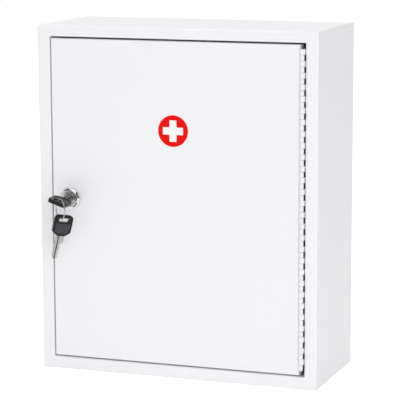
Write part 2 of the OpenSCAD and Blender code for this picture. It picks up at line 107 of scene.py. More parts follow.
CAMERA_AT = Vector((741.3, -2015.9, 551.6)) * MM
CAMERA_AZIMUTH = math.radians(19.87)
CAMERA_DOWN = math.radians(9.78)
CAMERA_ROLL = math.radians(-0.19)
CAMERA_LENS = 166.33
SENSOR_WIDTH = 36


def add_camera():
    back = Vector((math.sin(CAMERA_AZIMUTH) * math.cos(CAMERA_DOWN),
                   -math.cos(CAMERA_AZIMUTH) * math.cos(CAMERA_DOWN),
                   math.sin(CAMERA_DOWN)))
    right = Vector((0, 0, 1)).cross(back).normalized()
    up = back.cross(right)
    turn = Matrix((right, up, back)).transposed() @ Matrix.Rotation(CAMERA_ROLL, 3, "Z")
    data = bpy.data.cameras.new("camera")
    data.lens = CAMERA_LENS
    data.sensor_width = SENSOR_WIDTH
    camera = bpy.data.objects.new("camera", data)
    camera.matrix_world = Matrix.Translation(CAMERA_AT) @ turn.to_4x4()
    bpy.context.scene.collection.objects.link(camera)
    bpy.context.scene.camera = camera


# ---- Nodes of a material ----


def new_material(name):
    material = bpy.data.materials.new(name)
    material.use_nodes = True
    return material, material.node_tree, material.node_tree.nodes["Principled BSDF"]


def local_point(tree, place=None):
    """The point in the object, or in the axes of one of its pieces."""
    point = tree.nodes.new("ShaderNodeTexCoord").outputs["Object"]
    if place is None:
        return point
    node = tree.nodes.new("ShaderNodeMapping")
    away = place.inverted()
    node.inputs["Location"].default_value = away.to_translation()
    node.inputs["Rotation"].default_value = away.to_euler()
    tree.links.new(point, node.inputs["Vector"])
    return node.outputs["Vector"]


def stretched(tree, point, scale):
    node = tree.nodes.new("ShaderNodeMapping")
    node.inputs["Scale"].default_value = scale
    tree.links.new(point, node.inputs["Vector"])
    return node.outputs["Vector"]


def from_axis(tree, point):
    """A point whose X is the given one's distance from the Z axis."""
    flat = stretched(tree, point, (1, 1, 0))
    length = tree.nodes.new("ShaderNodeVectorMath")
    length.operation = "LENGTH"
    tree.links.new(flat, length.inputs[0])
    joined = tree.nodes.new("ShaderNodeCombineXYZ")
    tree.links.new(length.outputs["Value"], joined.inputs["X"])
    return joined.outputs["Vector"]


def noise(tree, point, scale, detail, roughness=0.5):
    node = tree.nodes.new("ShaderNodeTexNoise")
    node.inputs["Scale"].default_value = scale
    node.inputs["Detail"].default_value = detail
    node.inputs["Roughness"].default_value = roughness
    tree.links.new(point, node.inputs["Vector"])
    return node.outputs["Fac"]


def mapped(tree, value, low, high, to_low, to_high):
    node = tree.nodes.new("ShaderNodeMapRange")
    node.inputs["From Min"].default_value = low
    node.inputs["From Max"].default_value = high
    node.inputs["To Min"].default_value = to_low
    node.inputs["To Max"].default_value = to_high
    tree.links.new(value, node.inputs["Value"])
    return node.outputs["Result"]


def spread(tree, value, to_low, to_high):
    """The middle of a noise's values, which cluster round a half, spread over a range."""
    return mapped(tree, value, 0.3, 0.7, to_low, to_high)


# Sockets of a Mix node that are its factor, its colours and the colour that comes out
MIX_FACTOR, MIX_FIRST, MIX_SECOND, MIX_COLOUR = 0, 6, 7, 2


def mixed(tree, factor, first, second):
    node = tree.nodes.new("ShaderNodeMix")
    node.data_type = "RGBA"
    for socket, value in ((MIX_FIRST, first), (MIX_SECOND, second)):
        if isinstance(value, tuple):
            node.inputs[socket].default_value = (*value, 1)
        else:
            tree.links.new(value, node.inputs[socket])
    tree.links.new(factor, node.inputs[MIX_FACTOR])
    return node.outputs[MIX_COLOUR]


def split_point(tree, point):
    """The X, Y and Z of a point, as the outputs of one node."""
    node = tree.nodes.new("ShaderNodeSeparateXYZ")
    tree.links.new(point, node.inputs[0])
    return node.outputs


def bump(tree, shader, height, distance, strength):
    node = tree.nodes.new("ShaderNodeBump")
    node.inputs["Strength"].default_value = strength
    node.inputs["Distance"].default_value = distance
    tree.links.new(height, node.inputs["Height"])
    tree.links.new(node.outputs["Normal"], shader.inputs["Normal"])


# ---- Finishes ----


def powder_coat(name, colour):
    """Satin white powder coat with a fine orange peel and slight cloudiness."""
    material, tree, shader = new_material(name)
    point = local_point(tree)
    cloud = noise(tree, point, 9.0, 3.0)
    shade = tuple(c * 0.985 for c in colour)
    tree.links.new(mixed(tree, cloud, shade, colour), shader.inputs["Base Color"])
    peel = noise(tree, point, 900.0, 2.0)
    tree.links.new(spread(tree, peel, 0.38, 0.48), shader.inputs["Roughness"])
    shader.inputs["Specular IOR Level"].default_value = 0.45
    bump(tree, shader, peel, 0.03 * MM, 0.5)
    return material


def hinge_coat_with_painted_shade(name, colour, wear_and_shade, line, reach, bare_steel_and_shade, depth):
    """Powder coat with painted shade: darkened within a reach of an upright line along the
    barrel, as shade in the gaps by the knuckles, and behind a depth as bare steel and painted
    shade."""
    material = powder_coat(name, colour)
    tree = material.node_tree
    shader = tree.nodes["Principled BSDF"]
    coated = shader.inputs["Base Color"].links[0].from_socket
    point = local_point(tree)
    away = tree.nodes.new("ShaderNodeVectorMath")
    away.operation = "DISTANCE"
    tree.links.new(stretched(tree, point, (1, 1, 0)), away.inputs[0])
    away.inputs[1].default_value = line
    back = split_point(tree, point)["Y"]
    ragged = spread(tree, noise(tree, point, 700.0, 3.0), -0.15 * MM, 0.15 * MM)
    fade = 0.3 * MM
    masks = []
    for distance, start, end in ((away.outputs["Value"], reach, reach - fade),
                                 (back, depth, depth + fade)):
        total = tree.nodes.new("ShaderNodeMath")
        tree.links.new(distance, total.inputs[0])
        tree.links.new(ragged, total.inputs[1])
        masks.append(mapped(tree, total.outputs[0], start, end, 0, 1))
    # Painted shade: near the line the coat takes the shade colour, and behind the depth the bare
    # steel colour also stands for shade deep in the hinge
    painted_shade_mix = mixed(tree, masks[0], coated, wear_and_shade)
    tree.links.new(mixed(tree, masks[1], painted_shade_mix, bare_steel_and_shade), shader.inputs["Base Color"])
    return material


def metal(name, colour, roughness, grain=400.0, stretch=(1, 1, 1), relief=0.01):
    """Bare or plated metal with fine grain, which may be drawn out along an axis."""
    material, tree, shader = new_material(name)
    point = stretched(tree, local_point(tree), stretch)
    grains = noise(tree, point, grain, 4.0)
    darker = tuple(c * 0.86 for c in colour)
    tree.links.new(mixed(tree, grains, darker, colour), shader.inputs["Base Color"])
    tree.links.new(spread(tree, grains, roughness * 0.8, roughness * 1.25),
                   shader.inputs["Roughness"])
    shader.inputs["Metallic"].default_value = 1.0
    bump(tree, shader, grains, relief * MM, 0.6)
    return material


def zinc(name):
    """Bright zinc plate: clouded grey with a faint straw and blue cast, and fine scratches."""
    material, tree, shader = new_material(name)
    point = local_point(tree)
    clouds = noise(tree, point, 170.0, 4.0, 0.6)
    cast = noise(tree, point, 60.0, 2.0)
    clouded = mapped(tree, clouds, 0.35, 0.65, 0, 1)
    grey = mixed(tree, clouded, (0.42, 0.43, 0.45), (0.56, 0.57, 0.59))
    straw = mixed(tree, clouded, (0.45, 0.44, 0.41), (0.58, 0.57, 0.53))
    tree.links.new(mixed(tree, mapped(tree, cast, 0.45, 0.62, 0, 0.8), grey, straw),
                   shader.inputs["Base Color"])
    scratches = noise(tree, stretched(tree, point, (1, 1, 0.08)), 1600.0, 3.0)
    tree.links.new(spread(tree, scratches, 0.24, 0.42), shader.inputs["Roughness"])
    shader.inputs["Metallic"].default_value = 1.0
    bump(tree, shader, scratches, 0.006 * MM, 0.6)
    return material


def turned_face(name, colour, roughness, place):
    """Die-cast metal faced on a lathe and blasted: fine rings under a sandy grain."""
    material, tree, shader = new_material(name)
    point = local_point(tree, place)
    rings = noise(tree, from_axis(tree, point), 5200.0, 1.0)
    sand = noise(tree, point, 1500.0, 3.0)
    mottle = noise(tree, point, 420.0, 2.0)
    darker = tuple(c * 0.5 for c in colour)
    tree.links.new(mixed(tree, mapped(tree, mottle, 0.36, 0.64, 0, 1), darker, colour),
                   shader.inputs["Base Color"])
    tree.links.new(spread(tree, rings, roughness * 0.8, roughness * 1.25),
                   shader.inputs["Roughness"])
    shader.inputs["Metallic"].default_value = 1.0
    bump(tree, shader, sand, 0.03 * MM, 0.6)
    return material


GROOVE_X = -0.6  # middle of the blade's grooves, across it
GROOVE_HALF = 0.78
GROOVE_FLOOR = 0.62  # from the blade's middle plane
GROOVE_TOP = 0.85


def key_nickel(name, place):
    """Nickel on brass, brushed along the key, with the floors of its milled grooves painted near
    black as painted shade.
    """
    material, tree, shader = new_material(name)
    point = local_point(tree, place)
    brushed = noise(tree, stretched(tree, point, (1, 0.05, 1)), 1500.0, 4.0)
    patches = noise(tree, point, 260.0, 3.0)
    bright = mixed(tree, spread(tree, brushed, 0, 1), (0.42, 0.40, 0.405),
                   (0.60, 0.58, 0.585))
    wear_and_shade = mixed(tree, mapped(tree, patches, 0.42, 0.62, 0, 0.5), bright,
                 (0.40, 0.375, 0.375))
    split = split_point(tree, point)
    depth = tree.nodes.new("ShaderNodeMath")
    depth.operation = "ABSOLUTE"
    tree.links.new(split["Z"], depth.inputs[0])
    # Painted shade: the groove floors are painted near black, for the shade in the grooves
    groove_floor_shade = mapped(tree, depth.outputs[0], GROOVE_TOP * MM, GROOVE_FLOOR * MM, 0, 1)
    across = tree.nodes.new("ShaderNodeMath")
    across.operation = "COMPARE"
    across.inputs[1].default_value = GROOVE_X * MM
    across.inputs[2].default_value = GROOVE_HALF * MM
    tree.links.new(split["X"], across.inputs[0])
    darker = tree.nodes.new("ShaderNodeMath")
    darker.operation = "MULTIPLY"
    tree.links.new(groove_floor_shade, darker.inputs[0])
    tree.links.new(across.outputs[0], darker.inputs[1])
    tree.links.new(mixed(tree, darker.outputs[0], wear_and_shade, (0.10, 0.095, 0.095)),
                   shader.inputs["Base Color"])
    tree.links.new(spread(tree, brushed, 0.18, 0.30), shader.inputs["Roughness"])
    shader.inputs["Metallic"].default_value = 1.0
    bump(tree, shader, brushed, 0.008 * MM, 0.6)
    return material


def plastic(name, colour, roughness, grain, relief, specular):
    """Moulded plastic, polished or with a spark-eroded grain."""
    material, tree, shader = new_material(name)
    point = local_point(tree)
    cloud = noise(tree, point, 160.0, 3.0)
    light = tuple(c * 1.5 + 0.004 for c in colour)
    tree.links.new(mixed(tree, cloud, colour, light), shader.inputs["Base Color"])
    pits = noise(tree, point, grain, 2.0)
    tree.links.new(spread(tree, pits, roughness * 0.85, roughness * 1.15),
                   shader.inputs["Roughness"])
    shader.inputs["Specular IOR Level"].default_value = specular
    bump(tree, shader, pits, relief * MM, 0.6)
    return material


def sticker_vinyl(name, colour):
    """Printed vinyl film: even colour under a thin clear layer."""
    material, tree, shader = new_material(name)
    point = local_point(tree)
    cloud = noise(tree, point, 60.0, 2.0)
    deep = tuple(c * 0.94 for c in colour)
    tree.links.new(mixed(tree, cloud, deep, colour), shader.inputs["Base Color"])
    ripple = noise(tree, point, 260.0, 1.0)
    tree.links.new(spread(tree, ripple, 0.34, 0.42), shader.inputs["Roughness"])
    shader.inputs["Specular IOR Level"].default_value = 0.12
    bump(tree, shader, ripple, 0.02 * MM, 0.4)
    return material


HINGE_WHITE = (0.85, 0.853, 0.87)
# Dark bare steel, which also stands for the shade deep in the hinge
BARE_STEEL_AND_SHADE = (0.06, 0.06, 0.063)
FINISHES = {
    "powder_coat": powder_coat("powder_coat", (0.865, 0.868, 0.885)),
    # In both hinge finishes the third colour is painted shade on the knuckles beside the gaps,
    # and the bare steel colour is also painted shade deep in the hinge
    "hinge_paint": hinge_coat_with_painted_shade("hinge_paint", HINGE_WHITE, (0.42, 0.42, 0.43),
                              HINGE_AT + Vector((-2.7, 1.2, 0)) * MM, 1.1 * MM,
                              BARE_STEEL_AND_SHADE, HINGE_AT.y + 1.6 * MM),
    "door_knuckles": hinge_coat_with_painted_shade("door_knuckles", HINGE_WHITE, (0.02, 0.02, 0.02),
                                HINGE_AT + Vector((2.7, 1.9, 0)) * MM, 3.3 * MM,
                                BARE_STEEL_AND_SHADE, HINGE_AT.y + 3.2 * MM),
    "pin_steel": metal("pin_steel", (0.62, 0.62, 0.62), 0.3, stretch=(1, 1, 0.05)),
    "red_sticker": sticker_vinyl("red_sticker", (0.87, 0.001, 0.0)),
    "white_print": sticker_vinyl("white_print", (0.92, 0.92, 0.92)),
    "chrome": metal("chrome", (0.84, 0.84, 0.85), 0.07, grain=900.0, relief=0.001),
    "lock_face": turned_face("lock_face", (0.80, 0.80, 0.80), 0.34, LOCK_FRAME),
    "zinc_plate": zinc("zinc_plate"),
    "plug_metal": turned_face("plug_metal", (0.72, 0.72, 0.72), 0.36, PLUG_FRAME),
    "brass": metal("brass", (0.75, 0.58, 0.30), 0.3),
    "spring_steel": metal("spring_steel", (0.5, 0.5, 0.5), 0.3),
    "key_nickel": key_nickel("key_nickel", KEY_FRAME),
    "spare_nickel": key_nickel("spare_nickel", SPARE_FRAME),
    "key_plastic": plastic("key_plastic", (0.004, 0.004, 0.0045), 0.24, 900.0, 0.006, 0.28),
    "grained_plastic": plastic("grained_plastic", (0.030, 0.030, 0.036), 0.5, 1500.0, 0.03,
                               0.4),
    "ring_wire": metal("ring_wire", (0.52, 0.52, 0.53), 0.14),
}


# ---- Shaping ----


def pick(piece):
    bpy.ops.object.select_all(action="DESELECT")
    piece.select_set(True)
    bpy.context.view_layer.objects.active = piece


def settle(piece):
    """Moves a piece's place and turn into its mesh."""
    pick(piece)
    bpy.ops.object.transform_apply(location=True, rotation=True, scale=True)


@contextmanager
def editing(piece):
    """Edit mode, with all of the piece selected."""
    pick(piece)
    bpy.ops.object.mode_set(mode="EDIT")
    bpy.ops.mesh.select_all(action="SELECT")
    yield
    bpy.ops.object.mode_set(mode="OBJECT")


def modify(piece, kind, **settings):
    """Applies a modifier of a kind, with its settings."""
    modifier = piece.modifiers.new(kind.lower(), kind)
    for name, value in settings.items():
        setattr(modifier, name, value)
    pick(piece)
    bpy.ops.object.modifier_apply(modifier=modifier.name)


def close_slivers(piece):
    """Closes up the edges and faces that a cut has left next to nothing of."""
    sliver = 0.003 * MM
    with editing(piece):
        bpy.ops.mesh.remove_doubles(threshold=sliver)
        bpy.ops.mesh.dissolve_degenerate(threshold=sliver)


def ease_edges(piece, width, segments=2, angle=40):
    """Rounds every edge that turns by more than an angle."""
    modify(piece, "BEVEL", width=width * MM, segments=segments, limit_method="ANGLE",
           angle_limit=math.radians(angle))


def cut_away(piece, *cutters):
    for cutter in cutters:
        modify(piece, "BOOLEAN", operation="DIFFERENCE", solver="EXACT", object=cutter)
        bpy.data.objects.remove(cutter)


def eased_copy(node, name, edge, segments=2):
    """A piece in the shape of a frame node, with its cut edges eased."""
    piece = bpy.data.objects.new(name, NODES[node].data.copy())
    bpy.context.scene.collection.objects.link(piece)
    pick(piece)
    bpy.ops.mesh.customdata_custom_splitnormals_clear()
    with editing(piece):
        bpy.ops.mesh.remove_doubles(threshold=2 * WELD)
        bpy.ops.mesh.mark_sharp(clear=True)
        bpy.ops.mesh.dissolve_limited(angle_limit=math.radians(1))
    ease_edges(piece, edge, segments)
    return piece


def traced(name, outline):
    """A closed line through the points of an outline, each x, y, z in millimetres."""
    bpy.ops.mesh.primitive_plane_add(size=MM)
    piece = bpy.context.object
    piece.name = name
    at = Vector((0, 0, 0))
    with editing(piece):
        bpy.ops.mesh.merge(type="CENTER")
        for number, corner in enumerate([*outline, outline[0]]):
            step = Vector(corner) * MM - at
            at += step
            if number:
                bpy.ops.mesh.extrude_region_move(TRANSFORM_OT_translate={"value": step})
            else:
                bpy.ops.transform.translate(value=step)
        bpy.ops.mesh.select_all(action="SELECT")
        bpy.ops.mesh.remove_doubles(threshold=WELD)
    return piece


def lathed(name, profile, steps):
    """A closed profile, each point a radius and a height, turned round the Z axis."""
    piece = traced(name, [(radius, 0, height) for radius, height in profile])
    with editing(piece):
        bpy.ops.mesh.spin(steps=steps, angle=2 * math.pi, center=(0, 0, 0), axis=(0, 0, 1))
        bpy.ops.mesh.select_all(action="SELECT")
        bpy.ops.mesh.remove_doubles(threshold=WELD)
        bpy.ops.mesh.normals_make_consistent(inside=False)
    return piece


def drawn_out(name, outline, low, high):
    """A flat outline in X and Y, filled and drawn out from one height to another."""
    piece = traced(name, [(x, y, low) for x, y in outline])
    with editing(piece):
        bpy.ops.mesh.edge_face_add()
        bpy.ops.mesh.extrude_region_move(
            TRANSFORM_OT_translate={"value": (0, 0, (high - low) * MM)})
        bpy.ops.mesh.select_all(action="SELECT")
        bpy.ops.mesh.normals_make_consistent(inside=False)
    return piece


def arc(x, y, radius, start, end, steps):
    """Points round an arc, from one angle to another."""
    angles = [math.radians(start + (end - start) * k / steps) for k in range(steps + 1)]
    return [(x + radius * math.cos(a), y + radius * math.sin(a)) for a in angles]


SMOOTH = math.radians(35)  # edges that turn by less than this are shaded smooth


def finished(piece, finish, body, *nodes, place=None, slot=None):
    """Sets a piece in its place, smooths it, gives it its finish and body, and hides the frame
    nodes it stands for.
    """
    if place is not None:
        piece.matrix_world = place
        bpy.context.view_layer.update()
        settle(piece)
    pick(piece)
    bpy.ops.object.shade_smooth_by_angle(angle=SMOOTH)
    modify(piece, "WEIGHTED_NORMAL", keep_sharp=True)
    piece.data.materials.clear()
    piece.data.materials.append(FINISHES[finish])
    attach(piece, body)
    if nodes:
        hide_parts(*nodes)


def repaint(piece, finish, place, wanted):
    """Gives a second finish to the faces whose middle and normal, in the axes of a place,
    pass a test."""
    piece.data.materials.append(FINISHES[finish])
    inward = place.inverted()
    for face in piece.data.polygons:
        if wanted(inward @ face.center, inward.to_3x3() @ face.normal):
            face.material_index = len(piece.data.materials) - 1


# ---- Cabinet, shelves and door ----

SHEET_EDGE = 0.16  # easing of the cut and coated edges
PANELS = {  # frame nodes of the fixed sheet parts, and the pieces made from them
    "left_side": "left_side_sheet",
    "right_side": "right_side_sheet",
    "top_panel": "top_sheet",
    "bottom_panel": "bottom_sheet",
    "back_panel": "back_sheet",
    "shelf_ledges": "ledge_strips",
    "lower_shelf": "lower_shelf_tray",
    "upper_shelf": "upper_shelf_tray",
}


def add_cabinet():
    for node, name in PANELS.items():
        finished(eased_copy(node, name, SHEET_EDGE), "powder_coat", "cabinet", node)
    finished(eased_copy("door_panel", "door_pan", SHEET_EDGE), "powder_coat", "door",
             "door_panel")


DISC_R = 17.4
FILM_T = 0.3
FILM_ROUND = 0.12
CROSS_SPAN = 23.5
CROSS_ARM = 8.2
PRINT_T = 0.03  # that the print stands proud of the film


def add_disc():
    """Round film with a rolled edge, and the cross printed on it."""
    film = lathed("disc_film", [(0, 0), (DISC_R, 0), (DISC_R, FILM_T - FILM_ROUND),
                                (DISC_R - FILM_ROUND / 3, FILM_T - FILM_ROUND / 3),
                                (DISC_R - FILM_ROUND, FILM_T), (0, FILM_T)], steps=128)
    finished(film, "red_sticker", "door", "first_aid_disc", place=DISC_FRAME)
    far, near = CROSS_SPAN / 2, CROSS_ARM / 2
    quarter = [(far, near), (near, near), (near, far)]
    outline = [tuple(Matrix.Rotation(math.radians(90 * turn), 2) @ Vector(corner))
               for turn in range(4) for corner in quarter]
    cross = drawn_out("disc_cross", outline, FILM_T - 0.05, FILM_T + PRINT_T)
    finished(cross, "white_print", "door", place=DISC_FRAME, slot="red_sticker")


# ---- Hinge ----


def add_hinge():
    """Two leaves with alternate knuckles, and the pin with chamfered ends."""
    edge = 0.12
    finished(eased_copy("frame_hinge_leaf", "frame_leaf", edge), "hinge_paint", "cabinet",
             "frame_hinge_leaf")
    finished(eased_copy("door_hinge_leaf", "door_leaf", edge), "door_knuckles", "door",
             "door_hinge_leaf", slot="hinge_paint")
    low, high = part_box("hinge_pin")
    radius, length, chamfer = 1.5, (high.z - low.z) / MM, 0.35
    rod = lathed("hinge_rod", [(0, 0), (radius - chamfer, 0), (radius, chamfer),
                               (radius, length - chamfer), (radius - chamfer, length),
                               (0, length)], steps=32)
    middle = centre("hinge_pin")
    finished(rod, "pin_steel", "cabinet", "hinge_pin",
             place=Matrix.Translation((middle.x, middle.y, low.z)))


# ---- Lock ----

BEZEL_R = 12.0
BEZEL_H = 6.5
BEZEL_UNDERCUT = 0.6
FACE_R = 8.8
FACE_DEPTH = 0.3  # of the flat face below the dome's top
DOME_FOOT = 4.2  # height of the bezel's upright side
PLUG_BORE_R = 6.34
COLLAR_R = 7.14  # of the recess for the plug's collar
COLLAR_SEAT = 5.54
BARREL_R = 9.5
BARREL_FLATS = 16.5
BARREL_END = -17.0
THREAD_PITCH = 1.0
THREAD_DEPTH = 0.5


def thread(radius, start, end, depth=THREAD_DEPTH, pitch=THREAD_PITCH):
    """Profile of a thread, from one height down to another."""
    points, height = [], start
    while height - pitch > end:
        points += [(radius, height), (radius, height - pitch * 0.15),
                   (radius - depth, height - pitch * 0.5),
                   (radius - depth, height - pitch * 0.6)]
        height -= pitch
    return points + [(radius, height)]


def add_lock_housing():
    """Chromed dome round a recessed flat face, and a threaded barrel with two flats."""
    rim = BEZEL_R - FACE_R
    dome = [(FACE_R + rim * math.cos(a), DOME_FOOT + (BEZEL_H - DOME_FOOT) * math.sin(a))
            for a in (math.radians(6 * k) for k in range(16))]
    foot, face = BEZEL_R - BEZEL_UNDERCUT, BEZEL_H - FACE_DEPTH
    bezel = lathed("lock_bezel", [
        (foot, 0), (foot, 0.4), (BEZEL_R - 0.1, 0.5), *dome, (FACE_R - 0.1, BEZEL_H - 0.06),
        (FACE_R - 0.25, face), (COLLAR_R + 0.15, face), (COLLAR_R, face - 0.15),
        (COLLAR_R, COLLAR_SEAT), (PLUG_BORE_R, COLLAR_SEAT), (PLUG_BORE_R, 0)], steps=96)
    finished(bezel, "chrome", "door", "lock_housing", place=LOCK_FRAME)
    repaint(bezel, "lock_face", LOCK_FRAME,
            lambda at, normal: Vector((at.x, at.y)).length < (FACE_R - 0.12) * MM)
    barrel = lathed("lock_barrel", [
        (BARREL_R, 0), *thread(BARREL_R, -1.2, BARREL_END + 0.6),
        (BARREL_R - 0.5, BARREL_END), (PLUG_BORE_R + 0.3, BARREL_END),
        (PLUG_BORE_R, BARREL_END + 0.3), (PLUG_BORE_R, 0)], steps=64)
    with editing(barrel):
        for side in (-1, 1):
            bpy.ops.mesh.select_all(action="SELECT")
            bpy.ops.mesh.bisect(plane_co=(side * BARREL_FLATS / 2 * MM, 0, 0),
                                plane_no=(side, 0, 0), use_fill=True, clear_outer=True)
    finished(barrel, "zinc_plate", "door", "lock_housing", place=LOCK_FRAME)


def add_lock_fixings():
    """The toothed washer, and the hexagon nut with chamfered corners."""
    finished(eased_copy("lock_washer", "lock_tooth_washer", 0.1), "zinc_plate", "door",
             "lock_washer")
    low, high, across = -5.7, -1.7, 24.0
    corner = across / 2 / math.cos(math.radians(30))
    land, past, drop = across / 2 - 0.3, corner + 0.05, 1.1
    bpy.ops.mesh.primitive_cylinder_add(vertices=6, radius=corner * MM,
                                        depth=(high - low) * MM,
                                        location=(0, 0, (high + low) / 2 * MM))
    nut = bpy.context.object
    nut.name = "lock_hex_nut"
    settle(nut)
    chamfer = lathed("nut_chamfer", [
        (0, low), (land, low), (past, low + drop), (past, high - drop), (land, high),
        (0, high)], steps=96)
    modify(nut, "BOOLEAN", operation="INTERSECT", solver="EXACT", object=chamfer)
    bpy.data.objects.remove(chamfer)
    bore_r = BARREL_R + 0.05
    bore = lathed("nut_bore", [(0, high + 1), (bore_r, high + 1), (bore_r, low - 1),
                               (0, low - 1)], steps=64)
    cut_away(nut, bore)
    close_slivers(nut)
    finished(nut, "zinc_plate", "door", "lock_nut", place=LOCK_FRAME)


def add_plug():
    """The plug, its wafers, the washer that stops its turn, and the cam."""
    finished(eased_copy("lock_plug", "plug_barrel", 0.06), "plug_metal", "plug",
             "lock_plug")
    finished(eased_copy("stop_washer", "turn_stop", 0.1), "zinc_plate", "plug",
             "stop_washer")
    finished(eased_copy("lock_cam", "cam_arm", 0.3, 3), "zinc_plate", "plug", "lock_cam")
    finished(eased_copy("lock_wafers", "wafer_plates", 0.05), "brass", "plug",
             "lock_wafers")


def add_cam_screw():
    """Slotted pan-head screw that holds the cam on the plug."""
    head_low, head_high, tip, shank_r = -22.6, -20.0, -15.8, 2.0
    screw = lathed("cam_pan_screw", [
        (0, head_low), (2.2, head_low), (3.1, head_low + 0.2), (3.9, head_low + 0.8),
        (4.4, head_low + 1.7), (4.5, head_high - 0.15), (4.35, head_high),
        (shank_r, head_high), (shank_r, head_high + 0.4),
        *reversed(thread(shank_r, tip - 0.2, head_high + 0.4, 0.3, 0.7)),
        (shank_r - 0.4, tip), (0, tip)], steps=48)
    bpy.ops.mesh.primitive_cube_add(size=MM, location=(0, 0, (head_low + 0.5) * MM),
                                    scale=(10, 1.2, 1.4))
    slot_cutter = bpy.context.object
    cut_away(screw, slot_cutter)
    ease_edges(screw, 0.06)
    close_slivers(screw)
    finished(screw, "zinc_plate", "plug", "cam_screw", place=PLUG_FRAME)


WAFERS = 5
WAFER_PITCH = 2.8
WAFER_FIRST = 3.5  # height of the first wafer's spring
SPRING_AT = (-4.0, -4.3)
SPRING_R = 0.6
SPRING_WIRE_R = 0.14
SPRING_L = 4.6
SPRING_TURNS = 4


def add_wafer_springs():
    """Coils of round wire, one beside each wafer."""
    bpy.ops.mesh.primitive_circle_add(vertices=10, radius=SPRING_WIRE_R * MM,
                                      location=(0, SPRING_R * MM, 0), fill_type="NGON")
    coil = bpy.context.object
    coil.name = "spring_coil"
    settle(coil)
    pitch = (SPRING_L - 2 * SPRING_WIRE_R) / SPRING_TURNS
    modify(coil, "SCREW", axis="X", screw_offset=pitch * MM, iterations=SPRING_TURNS,
           steps=20, render_steps=20, use_merge_vertices=True,
           merge_threshold=WELD, use_normal_calculate=True)
    with editing(coil):
        bpy.ops.mesh.fill_holes(sides=0)
        bpy.ops.mesh.normals_make_consistent(inside=False)
        bpy.ops.transform.translate(value=((SPRING_AT[0] + SPRING_WIRE_R) * MM,
                                           SPRING_AT[1] * MM, WAFER_FIRST * MM))
    coils = [coil]
    for number in range(1, WAFERS):
        other = bpy.data.objects.new("spring_coil", coil.data.copy())
        bpy.context.scene.collection.objects.link(other)
        with editing(other):
            bpy.ops.transform.translate(value=(0, 0, -number * WAFER_PITCH * MM))
        coils.append(other)
    bpy.ops.object.select_all(action="DESELECT")
    for each in coils:
        each.select_set(True)
    bpy.context.view_layer.objects.active = coil
    bpy.ops.object.join()
    finished(coil, "spring_steel", "plug", "wafer_springs", place=PLUG_FRAME)


# ---- Keys ----

BOW_X = 1.6
BOW_W = 22.0
BOW_L = 24.2
BOW_T = 4.6
BOW_ROUND = 0.9  # of the edges round both faces
BOW_BAR = 3.2  # between the slot and the bow's end
END_R = 4.5  # corner rounds at the bow's end, at its sides and at its foot
SIDE_R = 3
FOOT_R = 2
FOOT_X = 3.75
SLOT_L = 13.0
SLOT_W = 4.8
SLOT_CORNER = 1.4
PANEL_RIM = 1.8
PANEL_DEPTH = 0.6
FOOT_TURN = -56.2  # where the bow's sloping shoulder is tangent to its corner rounds
SAME = 1e-7  # heights that differ by less, in metres, are level


def bow_outline(inset=0.0, steps=8):
    """Outline of the bow: round end corners, straight sides and sloping shoulders."""
    half = (arc(BOW_W / 2 - END_R, BOW_L - END_R, END_R - inset, 90, 0, steps)
            + arc(BOW_W / 2 - SIDE_R, BOW_L / 4, SIDE_R - inset, 0, FOOT_TURN, steps // 2)
            + arc(FOOT_X, FOOT_R, FOOT_R - inset, FOOT_TURN, -90, steps // 4))
    return ([(BOW_X + x, y) for x, y in half]
            + [(BOW_X - x, y) for x, y in reversed(half)])


def slot_outline():
    """Outline of the slot for the ring, with round corners."""
    x, y = SLOT_L / 2 - SLOT_CORNER, SLOT_W / 2 - SLOT_CORNER
    middle = BOW_L - BOW_BAR - SLOT_W / 2
    points = []
    for side_x, side_y, start in ((1, 1, 90), (1, -1, 0), (-1, -1, -90), (-1, 1, -180)):
        points += arc(BOW_X + side_x * x, middle + side_y * y, SLOT_CORNER, start,
                      start - 90, 4)
    return points


def panel_outline():
    """The sunk panel's outline: the bow's own, drawn in and ended below the slot."""
    top = BOW_L - BOW_BAR - SLOT_W - PANEL_RIM
    inner = [(x, min(y, top)) for x, y in bow_outline(PANEL_RIM)]
    kept = []
    for corner in inner:
        if not kept or (Vector(corner) - Vector(kept[-1])).length > 0.02:
            kept.append(corner)
    sides = BOW_W / 2 - PANEL_RIM
    return [(min(max(x, BOW_X - sides), BOW_X + sides), y) for x, y in kept]


def in_panel(at, normal):
    """True on the floor of either sunk panel."""
    return abs(normal.z) > 0.95 and abs(abs(at.z) - (BOW_T / 2 - PANEL_DEPTH) * MM) < 0.05 * MM


def moulded_bow(name):
    """Bow of black plastic: rounded all over, with a sunk panel in each face and a slot."""
    bow = drawn_out(name, bow_outline(), -BOW_T / 2, BOW_T / 2)
    cutters = [drawn_out("slot_core", slot_outline(), -BOW_T, BOW_T)]
    for side in (-1, 1):
        floor = side * (BOW_T / 2 - PANEL_DEPTH)
        low, high = sorted((floor, side * BOW_T))
        cutters.append(drawn_out("panel_core", panel_outline(), low, high))
    with editing(bow):
        rims = BOW_T / 2 * MM
        mesh = bmesh.from_edit_mesh(bow.data)
        bpy.ops.mesh.select_all(action="DESELECT")
        bpy.ops.mesh.select_mode(type="EDGE")
        for edge in mesh.edges:
            heights = [abs(abs(corner.co.z) - rims) < SAME for corner in edge.verts]
            level = abs(edge.verts[0].co.z - edge.verts[1].co.z) < SAME
            edge.select_set(all(heights) and level)
        bmesh.update_edit_mesh(bow.data)
        bpy.ops.mesh.bevel(offset=BOW_ROUND * MM, segments=4, profile=0.5)
    cut_away(bow, *cutters)
    ease_edges(bow, 0.22, 2, 50)
    close_slivers(bow)
    return bow


